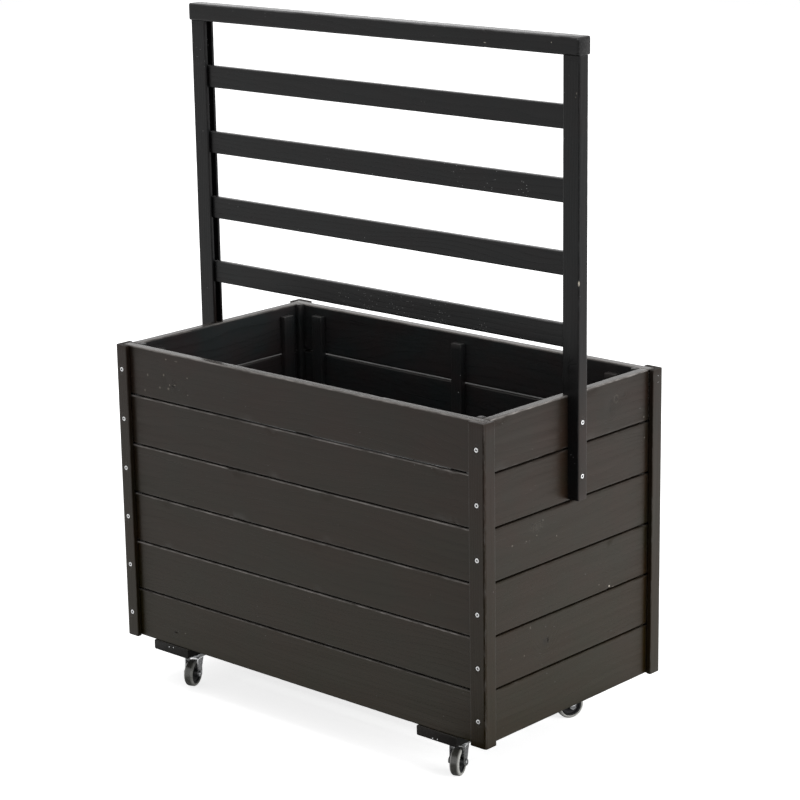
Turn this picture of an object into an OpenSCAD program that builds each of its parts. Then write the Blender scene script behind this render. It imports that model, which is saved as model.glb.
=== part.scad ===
// Rolling planter: a timber box of open-jointed boards on four swivel casters,
// with a trellis frame that stands on the end walls.
// X runs along the box, Y from front to back and Z up. The origin is on the
// ground, below the middle of the box.

/* [Box] */
// Length of the box over its corner posts
box_length = 700; // [560:10:1000]
// Depth of the box over its corner posts, front to back
box_depth = 383; // [300:1:520]
// Number of boards, one above the other, in each wall
board_rows = 6; // [3:1:6]
// Height of a wall board
board_height = 72.5; // [62:0.5:90]
// Thickness of a wall board
board_thickness = 15; // [12:0.5:20]
// Open joint between two wall boards
board_gap = 2; // [1:0.5:5]
// Radius of a board's eased edges
board_easing = 2.5; // [1:0.5:4]

/* [Corner posts] */
// Thickness of both legs of a corner post
leg_thickness = 8; // [6:0.5:12]
// Width of a corner post's wider leg
wide_leg = 27.5; // [25:0.5:40]
// Width of a corner post's narrower leg
narrow_leg = 22; // [21:0.5:32]
// Radius of a corner post's eased edges
leg_easing = 2.5; // [1:0.5:2.5]
// How far a corner post reaches below the boards
leg_drop = 0.5; // [0:0.5:3]

/* [Inside battens] */
// Side of the square batten in each inside corner
corner_batten = 10; // [8:0.5:14]
// Width of an upright batten on a wall
wall_batten_width = 20; // [14:1:26]
// Thickness of an upright batten on a wall
wall_batten_thickness = 10; // [6:0.5:14]
// How far the upright battens stop below the rim
wall_batten_drop = 13.5; // [5:0.5:40]
// End wall to the middle of the outer battens on a long wall
long_wall_batten_inset = 44; // [30:1:80]
// Long wall to the middle of the battens on an end wall
end_wall_batten_inset = 34; // [30:1:60]

/* [Floor] */
// Width of a floor board
floor_board_width = 72.5; // [50:0.5:90]
// Thickness of a floor board
floor_board_thickness = 15; // [10:0.5:20]
// Least drainage gap beside a floor board
least_drain_gap = 8; // [4:0.5:12]

/* [Caster battens] */
// Width of the battens under the box that carry the casters
caster_batten_width = 72; // [56:1:90]
// Thickness of those battens
caster_batten_thickness = 15; // [12:0.5:24]
// Right end of the box to the middle of the right batten
right_batten_inset = 94.25; // [70:0.25:150]
// Left end of the box to the middle of the left batten
left_batten_inset = 84.5; // [70:0.25:150]

/* [Trellis] */
// Height of the trellis above the rim of the box
trellis_height = 475.5; // [430:0.5:700]
// Width of a trellis post, seen from the front
trellis_post_width = 28; // [24:1:36]
// Depth of a trellis post, front to back
trellis_post_depth = 19; // [15:1:30]
// Thickness of the tongue that laps down outside an end wall
tongue_thickness = 18; // [14:1:23]
// Length of that tongue below the rim
tongue_length = 144; // [125:1:210]
// Number of slats
slat_count = 4; // [1:1:4]
// Height of a slat
slat_height = 32.5; // [20:0.5:45]
// Thickness of a slat
slat_thickness = 9; // [6:0.5:12]
// Clear gap above each slat
slat_gap = 64.5; // [40:0.5:76]
// Depth of the groove along a post's inner face that takes the slats' ends
slat_housing = 8; // [4:0.5:14]
// Height of the top rail
rail_height = 25; // [18:0.5:40]
// Depth of the top rail, front to back
rail_depth = 25; // [20:0.5:40]
// How far the top rail passes each trellis post
rail_overhang = 1; // [0:0.5:20]
// Radius of the eased edges of the posts, slats and rail
trellis_easing = 2; // [1:0.5:2.5]

/* [Casters] */
// Diameter of a wheel
wheel_d = 40; // [34:1:43]
// Height of a caster, from the ground to its mounting plate's top
caster_height = 58.5; // [56:0.5:75]
// Horizontal distance from the swivel axis to the axle
caster_trail = 18; // [12:0.5:22]
// End of the batten to the swivel axis
caster_inset = 53.5; // [40:0.5:90]
// Turn of the front right caster
front_right_turn = 22; // [-180:1:180]
// Turn of the front left caster
front_left_turn = 21; // [-180:1:180]
// Turn of the rear right caster
rear_right_turn = -25; // [-180:1:180]
// Turn of the rear left caster
rear_left_turn = 12; // [-180:1:180]
// Width of a tyre
tyre_width = 14; // [10:0.5:18]
// Thickness of a tyre, outside its hub
tyre_wall = 4.5; // [4:0.25:7]
// Radius of a tyre's shoulders
tyre_shoulder = 4; // [1:0.25:4]
// Clear space between a tyre's side and the fork
tyre_side_space = 2.4; // [1.5:0.1:5]
// Diameter of the round boss that a hub turns on
boss_d = 12; // [9:0.5:16]
// Side of the square mounting plate
plate_side = 42; // [38:1:54]
// Thickness of the mounting plate
plate_thickness = 2; // [1.5:0.5:4]
// Distance between the mounting plate's holes
plate_hole_spacing = 32; // [28:0.5:33]
// Radius of the mounting plate's corners
plate_corner = 4; // [1:0.5:5]
// Diameter of the upper race, under the mounting plate
upper_race_d = 27; // [20:0.5:31]
// Diameter of the lower race and the fork's round crown
crown_d = 32; // [26:0.5:40]
// Height of the lower race above the fork's crown
lower_race_height = 4.7; // [2:0.1:5.5]
// Diameter of the king pin
king_pin_d = 8; // [6:0.5:10]
// Diameter of the king pin's riveted head
rivet_head_d = 13; // [12:0.5:17]
// Thickness of that head
rivet_head_thickness = 2; // [1:0.5:2.5]
// Clear height between the wheel's top and the fork's crown
crown_space = 4; // [3:0.5:6]
// Thickness of the fork's sheet metal
fork_sheet = 1.8; // [1.2:0.1:2.5]
// Width of the fork's cheeks at the crown
cheek_width = 20; // [14:0.5:24]
// Radius of the cheeks' round lower ends
cheek_end_r = 4.5; // [4:0.25:6.5]
// Diameter of the axle bolt
axle_d = 6; // [4:0.5:7]
// Size across the flats of the axle's head and nut
hexagon_size = 9; // [8:0.5:12]
// Thickness of the axle's head and nut
hexagon_thickness = 2.7; // [2:0.1:5]

/* [Screws] */
// Head diameter of the countersunk wood screws
screw_head_d = 6.5; // [5:0.5:8]
// Shank diameter of the countersunk wood screws
screw_shank_d = 3; // [2.5:0.5:4]
// Height of a countersunk head
screw_head_height = 2; // [1.5:0.1:3]
// Wood left between a screw's tip and the far face
screw_tip_cover = 3; // [1:0.5:6]
// Head diameter of the mounting plate's pan head screws
pan_head_d = 7; // [6:0.5:8]
// Height of a pan head
pan_head_height = 2.2; // [1.5:0.1:3]
// Shank diameter of the mounting plate's screws
pan_shank_d = 3.5; // [2.5:0.5:4]

/* [Clearances] */
// Gap between the end of a board and the piece beside it
end_clearance = 0.3; // [0.1:0.1:1]
// Gap around a slat's end in its groove
housing_clearance = 0.2; // [0.1:0.1:0.5]
// Gap around a screw in its hole
fit_clearance = 0.1; // [0.05:0.05:0.2]
// Gap between a tyre and its hub
tyre_clearance = 0.3; // [0.2:0.1:0.5]
// Radial gap of a bearing around its pin
bearing_clearance = 0.05; // [0.02:0.01:0.1]
// Gap between flat faces that run past each other
running_clearance = 0.3; // [0.2:0.1:0.6]
// Depth of a screw head's face below the wood
head_sink = 0.2; // [0:0.1:0.5]

/* [Hidden] */
$fn = 48;
// Cuts reach this far past the face that they open
over = 1;

ROWS = [1:board_rows];
CORNERS = ["front_right", "front_left", "rear_right", "rear_left"];

board_stain = [0.235, 0.212, 0.196];
trellis_stain = [0.18, 0.18, 0.185];
zinc = [0.72, 0.73, 0.74];
hub_black = [0.08, 0.08, 0.085];
tyre_grey = [0.6, 0.6, 0.59];

LEFT = -1;
RIGHT = 1;
FRONT = -1;
REAR = 1;

// Heights above the ground
boards_z = caster_height + caster_batten_thickness;
board_pitch = board_height + board_gap;
rim_z = boards_z + board_rows * board_pitch - board_gap;
floor_top_z = boards_z + floor_board_thickness;
rail_z = rim_z + trellis_height - rail_height;
function board_z(row) = boards_z + (row - 1) * board_pitch + board_height / 2;
function slat_z(slat) = rail_z - slat * (slat_gap + slat_height) + slat_height / 2;

// Faces of the walls, from the middle of the box
end_outside = box_length / 2 - leg_thickness;
end_inside = end_outside - board_thickness;
long_outside = box_depth / 2 - leg_thickness;
long_inside = long_outside - board_thickness;
function sign_x(corner) = corner == "front_right" || corner == "rear_right" ? RIGHT : LEFT;
function sign_y(corner) = corner == "front_right" || corner == "front_left" ? FRONT : REAR;

// Width of a corner post's leg on the long wall, and on the end wall
function long_wall_leg(corner) = corner == "front_left" ? narrow_leg : wide_leg;
function end_wall_leg(corner) = corner == "front_left" ? wide_leg : narrow_leg;

// The trellis, from the middle of the box
trellis_outside = end_outside + tongue_thickness;
trellis_inside = trellis_outside - trellis_post_width;

// The casters
wheel_r = wheel_d / 2;
plate_under_z = caster_height - plate_thickness;
crown_under_z = wheel_d + crown_space;
crown_top_z = crown_under_z + fork_sheet;
lower_race_top_z = crown_top_z + lower_race_height;
fork_inside = tyre_width / 2 + tyre_side_space;
fork_outside = fork_inside + fork_sheet;
cheek_front = caster_trail + cheek_end_r;
right_batten_x = box_length / 2 - right_batten_inset;
left_batten_x = left_batten_inset - box_length / 2;
caster_y = long_outside - caster_inset;
function caster_x(corner) = sign_x(corner) == RIGHT ? right_batten_x : left_batten_x;
function caster_turn(corner) =
    corner == "front_right" ? front_right_turn :
    corner == "front_left" ? front_left_turn :
    corner == "rear_right" ? rear_right_turn : rear_left_turn;

// ---------------------------------------------------------------- helpers

// A rectangle about the origin with round corners
module eased_rectangle(width, height, radius) {
    square([width - 2 * radius, height], center = true);
    square([width, height - 2 * radius], center = true);
    for (x = [-1, 1], y = [-1, 1])
        translate([x * (width / 2 - radius), y * (height / 2 - radius)]) circle(r = radius);
}

// Extrudes a YZ outline along X, centred
module along_x(length)
    translate([-length / 2, 0, 0]) rotate([90, 0, 90]) linear_extrude(length) children();

// Extrudes an XZ outline along Y, centred
module along_y(length)
    translate([0, length / 2, 0]) rotate([90, 0, 0]) linear_extrude(length) children();

// Extrudes an XY outline from one height to another
module upright(bottom, top)
    translate([0, 0, bottom]) linear_extrude(top - bottom) children();

// A countersunk screw, or its hole with some clearance. Its face is at the
// origin and it points down.
module screw_body(length, clearance) {
    head_r = screw_head_d / 2 + clearance;
    shank_r = screw_shank_d / 2 + clearance;
    translate([0, 0, -screw_head_height]) cylinder(h = screw_head_height, r1 = shank_r, r2 = head_r);
    translate([0, 0, -length + screw_shank_d - clearance])
        cylinder(h = length - screw_shank_d + clearance - screw_head_height / 2, r = shank_r);
    translate([0, 0, -length - clearance])
        cylinder(h = screw_shank_d, r1 = clearance + screw_shank_d / 8, r2 = shank_r);
}

// Hole for a countersunk screw, open at the wood's face
module screw_hole(length) {
    translate([0, 0, -head_sink]) screw_body(length, fit_clearance);
    translate([0, 0, -head_sink - fit_clearance])
        cylinder(h = head_sink + over, r = screw_head_d / 2 + fit_clearance);
}

// Two crossed slots, cut into a screw's face at the origin
module cross_recess(head_d) {
    slot_length = head_d * 0.6;
    slot_width = head_d * 0.15;
    slot_depth = head_d * 0.16;
    for (size = [[slot_length, slot_width], [slot_width, slot_length]])
        translate([-size[0] / 2, -size[1] / 2, -slot_depth]) cube([size[0], size[1], slot_depth + over]);
}

module wood_screw(length)
    translate([0, 0, -head_sink]) difference() {
        screw_body(length, 0);
        cross_recess(screw_head_d);
    }

// Turns a downward screw so that it points into a wall from outside
module into_long_wall(side) rotate([side == FRONT ? 90 : -90, 0, 0]) children();
module into_end_wall(side) rotate([0, side == RIGHT ? 90 : -90, 0]) children();

corner_screw_length = leg_thickness + board_thickness - screw_tip_cover;
tongue_screw_length = tongue_thickness + board_thickness - screw_tip_cover;
plate_screw_length = plate_thickness + caster_batten_thickness - screw_tip_cover;

// Places children at one corner post's screw for a row of boards
module at_corner_screw(corner, row)
    translate([
        sign_x(corner) * (box_length / 2 - long_wall_leg(corner) / 2),
        sign_y(corner) * box_depth / 2,
        board_z(row)
    ]) into_long_wall(sign_y(corner)) children();

// Places children at one trellis tongue's screw for a row of boards
module at_tongue_screw(side, row)
    translate([side * trellis_outside, 0, board_z(row)]) into_end_wall(side) children();

TONGUE_ROWS = [board_rows - 1, board_rows];

// Places children at the swivel axis of a caster, with the plate square
module at_swivel(corner)
    translate([caster_x(corner), sign_y(corner) * caster_y, 0]) children();

// Places children at the swivel axis of a caster, turned with its fork: the
// axle lies along X and the wheel trails towards -Y
module in_fork(corner) at_swivel(corner) rotate([0, 0, caster_turn(corner)]) children();

module at_plate_holes()
    for (x = [-1, 1], y = [-1, 1])
        translate([x * plate_hole_spacing / 2, y * plate_hole_spacing / 2, 0]) children();

// Places children on the axle, with Z along it
module on_axle()
    translate([0, -caster_trail, wheel_r]) rotate([0, 90, 0]) children();

// A bar from one end of the axle to the other, centred on the wheel
module centred_round(length, radius)
    translate([0, 0, -length / 2]) cylinder(h = length, r = radius);

// ------------------------------------------------------------------- box

module board_outline() eased_rectangle(board_thickness, board_height, board_easing);

// Long boards run through behind the posts' legs
module long_board(side, row) color(board_stain) difference() {
    translate([0, side * (long_outside - board_thickness / 2), board_z(row)])
        along_x(2 * (end_outside - end_clearance)) board_outline();
    for (corner = CORNERS)
        if (sign_y(corner) == side) at_corner_screw(corner, row) screw_hole(corner_screw_length);
}

// End boards fit between the long boards
module end_board(side, row) color(board_stain) difference() {
    translate([side * (end_outside - board_thickness / 2), 0, board_z(row)])
        along_y(2 * (long_inside - end_clearance)) board_outline();
    for (screwed = TONGUE_ROWS)
        if (screwed == row) at_tongue_screw(side, row) screw_hole(tongue_screw_length);
}

// A leg of a corner post as an outline from the outside corner
module leg_outline(x, y)
    translate([x / 2, y / 2]) eased_rectangle(x, y, leg_easing);

module corner_post(corner) color(board_stain) difference() {
    translate([sign_x(corner) * box_length / 2, sign_y(corner) * box_depth / 2, 0])
        mirror([sign_x(corner) == RIGHT ? 1 : 0, 0, 0])
            mirror([0, sign_y(corner) == REAR ? 1 : 0, 0])
                upright(boards_z - leg_drop, rim_z) {
                    leg_outline(long_wall_leg(corner), leg_thickness);
                    leg_outline(leg_thickness, end_wall_leg(corner));
                }
    for (row = ROWS) at_corner_screw(corner, row) screw_hole(corner_screw_length);
}

// Square battens in the corners, and upright ones that tie the boards together
module inside_battens() color(board_stain) {
    for (x = [-1, 1], y = [-1, 1])
        mirror([x < 0 ? 1 : 0, 0, 0]) mirror([0, y < 0 ? 1 : 0, 0])
            translate([end_inside - corner_batten, long_inside - corner_batten, 0])
                upright(floor_top_z, rim_z) corner_batten_outline();
    for (side = [FRONT, REAR], x = [-1, 0, 1])
        translate([x * (end_inside - long_wall_batten_inset), side * (long_inside - wall_batten_thickness / 2), 0])
            upright(floor_top_z, rim_z - wall_batten_drop)
                square([wall_batten_width, wall_batten_thickness], center = true);
    for (side = [LEFT, RIGHT], y = [-1, 1])
        translate([side * (end_inside - wall_batten_thickness / 2), y * (long_inside - end_wall_batten_inset), 0])
            upright(floor_top_z, rim_z - wall_batten_drop)
                square([wall_batten_thickness, wall_batten_width], center = true);
}

// A square whose inner corner, at the origin, is round
module corner_batten_outline() {
    round = corner_batten * 0.4;
    translate([round, 0]) square([corner_batten - round, corner_batten]);
    translate([0, round]) square([corner_batten, corner_batten - round]);
    translate([round, round]) circle(r = round);
}

// As many boards as fit between the long walls with the least drainage gap
module floor_boards() color(board_stain) {
    inside = 2 * long_inside;
    count = floor((inside - least_drain_gap) / (floor_board_width + least_drain_gap));
    gap = (inside - count * floor_board_width) / (count + 1);
    for (i = [0:count - 1])
        translate([0, -long_inside + gap + floor_board_width / 2 + i * (floor_board_width + gap),
                   boards_z + floor_board_thickness / 2])
            along_x(2 * (end_inside - end_clearance))
                eased_rectangle(floor_board_width, floor_board_thickness, board_easing);
}

module caster_batten(side) color(board_stain) difference() {
    translate([side == RIGHT ? right_batten_x : left_batten_x, 0, caster_height + caster_batten_thickness / 2])
        along_y(2 * long_outside)
            eased_rectangle(caster_batten_width, caster_batten_thickness, board_easing);
    for (corner = CORNERS)
        if (sign_x(corner) == side)
            at_swivel(corner) at_plate_holes() translate([0, 0, plate_under_z]) plate_screw_shank(fit_clearance);
}

// --------------------------------------------------------------- trellis

module trellis_post(side) color(trellis_stain) difference() {
    translate([side * (trellis_outside + trellis_inside) / 2, 0, 0])
        upright(rim_z - tongue_length, rail_z)
            eased_rectangle(trellis_post_width, trellis_post_depth, trellis_easing);
    // The notch that leaves the tongue outside the end wall
    translate([side > 0 ? trellis_inside - over : -end_outside, -trellis_post_depth, rim_z - tongue_length - over])
        cube([end_outside - trellis_inside + over, 2 * trellis_post_depth, tongue_length + over]);
    // The groove that the slats' ends sit in
    upright(rim_z - over, rail_z + over)
        square([
            2 * (trellis_inside + slat_housing + housing_clearance),
            slat_thickness + 2 * housing_clearance
        ], center = true);
    for (row = TONGUE_ROWS) at_tongue_screw(side, row) screw_hole(tongue_screw_length);
}

module trellis_slat(slat) color(trellis_stain)
    translate([0, 0, slat_z(slat)])
        along_x(2 * (trellis_inside + slat_housing))
            eased_rectangle(slat_thickness, slat_height, trellis_easing);

module top_rail() color(trellis_stain)
    translate([0, 0, rail_z + rail_height / 2])
        along_x(2 * (trellis_outside + rail_overhang))
            eased_rectangle(rail_depth, rail_height, trellis_easing);

// --------------------------------------------------------------- casters

// Mounting plate with its race and the king pin that the fork swivels on
module caster_plate(corner) color(zinc) at_swivel(corner) {
    difference() {
        upright(plate_under_z, caster_height) eased_rectangle(plate_side, plate_side, plate_corner);
        at_plate_holes() translate([0, 0, plate_under_z - over])
            cylinder(h = plate_thickness + 2 * over, r = pan_shank_d / 2 + fit_clearance);
    }
    upright(lower_race_top_z + running_clearance, plate_under_z) circle(d = upper_race_d);
    upright(crown_under_z - running_clearance, plate_under_z) circle(d = king_pin_d);
    upright(crown_under_z - running_clearance - rivet_head_thickness, crown_under_z - running_clearance)
        circle(d = rivet_head_d);
}

// Outline of a cheek in the YZ plane: upright in front, and drawn in behind
// to the round end about the axle
module cheek_outline() {
    axle = [-caster_trail, wheel_r];
    heel = [cheek_width - cheek_front, crown_top_z];
    reach = heel - axle;
    tangent = atan2(reach.y, reach.x) - acos(cheek_end_r / norm(reach));
    polygon([
        heel,
        [-cheek_front, crown_top_z],
        [-cheek_front, wheel_r],
        axle + cheek_end_r * [cos(tangent), sin(tangent)]
    ]);
    translate(axle) circle(r = cheek_end_r);
}

module caster_fork(corner) color(zinc) in_fork(corner) difference() {
    union() {
        upright(crown_under_z, lower_race_top_z) circle(d = crown_d);
        upright(crown_under_z, crown_top_z)
            translate([-fork_outside, -cheek_front]) square([2 * fork_outside, cheek_front]);
        for (side = [-1, 1])
            translate([side * (fork_inside + fork_sheet / 2), 0, 0]) along_x(fork_sheet) cheek_outline();
    }
    translate([0, 0, crown_under_z - over])
        cylinder(h = lower_race_top_z - crown_under_z + 2 * over, r = king_pin_d / 2 + bearing_clearance);
    on_axle() centred_round(2 * (fork_outside + over), axle_d / 2 + fit_clearance);
}

// Axle bolt with its hexagon head and nut against the cheeks
module caster_axle(corner) color(zinc) in_fork(corner) on_axle() {
    length = 2 * (fork_outside + hexagon_thickness);
    centred_round(length, axle_d / 2);
    for (side = [-1, 1])
        translate([0, 0, side * (fork_outside + hexagon_thickness / 2)])
            rotate([0, 0, 30])
                cylinder(h = hexagon_thickness, d = hexagon_size / cos(30), center = true, $fn = 6);
}

// Hub with a sunk face between its boss and its rim
module caster_hub(corner) color(hub_black) in_fork(corner) on_axle() {
    hub_r = wheel_r - tyre_wall;
    boss_length = 2 * (fork_inside - running_clearance);
    rim_width = tyre_width - 2;
    rim_thickness = 2.5;
    web_width = tyre_width / 2;
    difference() {
        union() {
            centred_round(boss_length, boss_d / 2);
            centred_round(web_width, hub_r - rim_thickness / 2);
            difference() {
                centred_round(rim_width, hub_r);
                centred_round(rim_width + 2 * over, hub_r - rim_thickness);
            }
        }
        centred_round(boss_length + 2 * over, axle_d / 2 + bearing_clearance);
    }
}

// Ring with round shoulders and a straight bore around the hub
module caster_tyre(corner) color(tyre_grey) in_fork(corner) on_axle() rotate_extrude() intersection() {
    inside = wheel_r - tyre_wall + tyre_clearance;
    translate([inside, -tyre_width / 2]) square([wheel_r - inside, tyre_width]);
    eased_rectangle(wheel_d, tyre_width, tyre_shoulder);
}

// ---------------------------------------------------------------- screws

// Shank of a mounting plate's screw, or its hole, upwards from the plate's underside
module plate_screw_shank(clearance)
    cylinder(h = plate_screw_length + clearance, r = pan_shank_d / 2 + clearance);

module plate_screw() {
    plate_screw_shank(0);
    translate([0, 0, -pan_head_height]) difference() {
        cylinder(h = pan_head_height, r = pan_head_d / 2);
        mirror([0, 0, 1]) cross_recess(pan_head_d);
    }
}

module screws() color(zinc) {
    for (corner = CORNERS, row = ROWS) at_corner_screw(corner, row) wood_screw(corner_screw_length);
    for (side = [LEFT, RIGHT], row = TONGUE_ROWS) at_tongue_screw(side, row) wood_screw(tongue_screw_length);
    for (corner = CORNERS)
        at_swivel(corner) at_plate_holes() translate([0, 0, plate_under_z]) plate_screw();
}

// ----------------------------------------------------------------- nodes

for (row = ROWS) {
    long_board(FRONT, row);
    long_board(REAR, row);
    end_board(LEFT, row);
    end_board(RIGHT, row);
}
for (corner = CORNERS) {
    corner_post(corner);
    caster_plate(corner);
    caster_fork(corner);
    caster_axle(corner);
    caster_hub(corner);
    caster_tyre(corner);
}
inside_battens();
floor_boards();
caster_batten(LEFT);  // caster_batten_left
caster_batten(RIGHT);  // caster_batten_right
trellis_post(LEFT);  // trellis_post_left
trellis_post(RIGHT);  // trellis_post_right
top_rail();
for (slat = [1:slat_count])
    trellis_slat(slat);
screws();
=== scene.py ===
"""Looks of the rolling planter: stained boards, trellis and casters.

Everything is in metres in the part's own frame: X along the box, Y from front
to back, Z up, with the origin on the ground below the middle of the box.
"""

import math

import bmesh
import bpy
from mathutils import Matrix, Vector, noise


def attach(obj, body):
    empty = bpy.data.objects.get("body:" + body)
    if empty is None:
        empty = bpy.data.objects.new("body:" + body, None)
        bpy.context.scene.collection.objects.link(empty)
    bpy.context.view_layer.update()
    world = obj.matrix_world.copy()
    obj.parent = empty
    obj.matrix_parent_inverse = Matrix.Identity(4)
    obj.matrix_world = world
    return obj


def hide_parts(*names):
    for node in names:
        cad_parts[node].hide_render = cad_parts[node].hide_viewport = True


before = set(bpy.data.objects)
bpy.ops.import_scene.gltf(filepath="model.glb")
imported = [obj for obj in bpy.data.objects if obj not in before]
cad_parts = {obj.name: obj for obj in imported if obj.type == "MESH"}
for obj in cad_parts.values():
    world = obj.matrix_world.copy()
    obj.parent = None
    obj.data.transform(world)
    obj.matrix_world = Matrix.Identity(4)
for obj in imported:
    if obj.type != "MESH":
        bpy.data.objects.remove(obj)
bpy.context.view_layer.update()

MM = 0.001

# ------------------------------------------------------- sizes, millimetres

BOARD_T = 15.0
BOARD_H = 72.5
BOARD_PITCH = 74.5
BOARD_EASING = 2.5
BOARDS_Z = 73.5
RIM_Z = 518.5
FLOOR_TOP_Z = 88.5
END_OUT = 342.0
LONG_OUT = 183.5
LEG_T = 8.0
BOX_HALF = 350.0
BOX_HALF_DEPTH = 191.5
LONG_BOARD_HALF = 341.7
END_BOARD_HALF = 168.2
INNER_X = END_OUT - BOARD_T
INNER_Y = LONG_OUT - BOARD_T
WIDE_LEG, NARROW_LEG = 27.5, 22.0
INSIDE_BATTEN_TOP = 505.0
FLOOR_BOARD_Y = (-122.85, -40.95, 40.95, 122.85)
FLOOR_BOARD_HALF = 326.7
ROWS = range(1, 7)

POST_X = 346.0
TONGUE_X = 360.0
TONGUE_Z = 374.5
TONGUE_ROWS = (5, 6)
RAIL_UNDER = 969.0
RAIL_SIDE = 25.0
RAIL_HALF = 361.0
SLAT_H = 32.5
SLAT_PITCH = 97.0
SLAT_HALF = 340.0

CASTER_X = {"left": -265.5, "right": 255.75}
CASTER_Y = 130.0
CASTER_BATTEN_W = 72.0
PLATE_UNDER = 56.5
PLATE_HOLE = 16


def board_z(row):
    return BOARDS_Z + (row - 1) * BOARD_PITCH + BOARD_H / 2


def leg_widths(corner):
    """A corner post's legs on the long wall and on the end wall."""
    return (NARROW_LEG, WIDE_LEG) if corner == "front_left" else (WIDE_LEG, NARROW_LEG)


def metres(point):
    return tuple(c * MM for c in point)


# ---------------------------------------------------------- node materials

WHITE = (1.0, 1.0, 1.0, 1.0)


class Tree:
    """Short names for building the nodes of a new material or world."""

    def __init__(self, owner):
        self.owner = owner
        owner.use_nodes = True
        self.tree = owner.node_tree
        self.tree.nodes.clear()

    def node(self, kind, inputs=None, **settings):
        made = self.tree.nodes.new(kind)
        for key, value in settings.items():
            setattr(made, key, value)
        for key, value in (inputs or {}).items():
            self.put(made.inputs[key], value)
        return made

    def put(self, socket, value):
        if isinstance(value, bpy.types.NodeSocket):
            self.tree.links.new(value, socket)
        elif isinstance(value, bpy.types.Node):
            self.tree.links.new(value.outputs[0], socket)
        else:
            socket.default_value = value

    def math(self, operation, *values, clamp=False):
        return self.node("ShaderNodeMath", dict(enumerate(values)), operation=operation, use_clamp=clamp).outputs[0]

    def times(self, a, b):
        return self.math("MULTIPLY", a, b)

    def plus(self, a, b):
        return self.math("ADD", a, b)

    def most(self, a, b):
        return self.math("MAXIMUM", a, b)

    def vector(self, operation, *values):
        made = self.node("ShaderNodeVectorMath", dict(enumerate(values)), operation=operation)
        return made.outputs["Value" if operation in ("LENGTH", "DISTANCE", "DOT_PRODUCT") else "Vector"]

    def fit(self, value, low, high, to_low=0.0, to_high=1.0, smooth=False):
        made = self.node("ShaderNodeMapRange", {0: value, 1: low, 2: high, 3: to_low, 4: to_high})
        made.interpolation_type = "SMOOTHSTEP" if smooth else "LINEAR"
        return made.outputs[0]

    def mix(self, factor, a, b, blend="MIX"):
        made = self.node("ShaderNodeMix", data_type="RGBA", blend_type=blend)
        self.put(made.inputs[0], factor)
        for index, value in ((6, a), (7, b)):
            self.put(made.inputs[index], value if not isinstance(value, tuple) else (*value, 1.0)[:4])
        return made.outputs[2]

    def noise(self, vector, scale, detail=2.0, rough=0.5):
        inputs = {"Vector": vector, "Scale": scale, "Detail": detail, "Roughness": rough}
        return self.node("ShaderNodeTexNoise", inputs).outputs["Fac"]

    def stretched(self, vector, x, y, z):
        return self.vector("MULTIPLY", vector, (x, y, z))

    def grained(self, grain, along, across, detail=2.0, rough=0.5):
        """Noise drawn out along the grain."""
        return self.noise(self.stretched(grain, along, across, across), 1.0, detail, rough)

    def bump(self, height, distance, strength):
        return self.node("ShaderNodeBump", {"Height": height, "Distance": distance, "Strength": strength}).outputs[0]

    def attribute(self, name, output="Fac"):
        return self.node("ShaderNodeAttribute", attribute_name=name).outputs[output]

    def place(self):
        return self.node("ShaderNodeTexCoord").outputs["Object"]

    def parts(self, vector):
        """The X, Y and Z of a vector."""
        return self.node("ShaderNodeSeparateXYZ", {0: vector}).outputs

    def finish(self, **inputs):
        shader = self.node("ShaderNodeBsdfPrincipled", {key.replace("_", " "): inputs[key] for key in inputs})
        self.node("ShaderNodeOutputMaterial", {0: shader})
        return self.owner


def shade(colour, factor):
    return tuple(min(1.0, c * factor) for c in colour)


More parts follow.
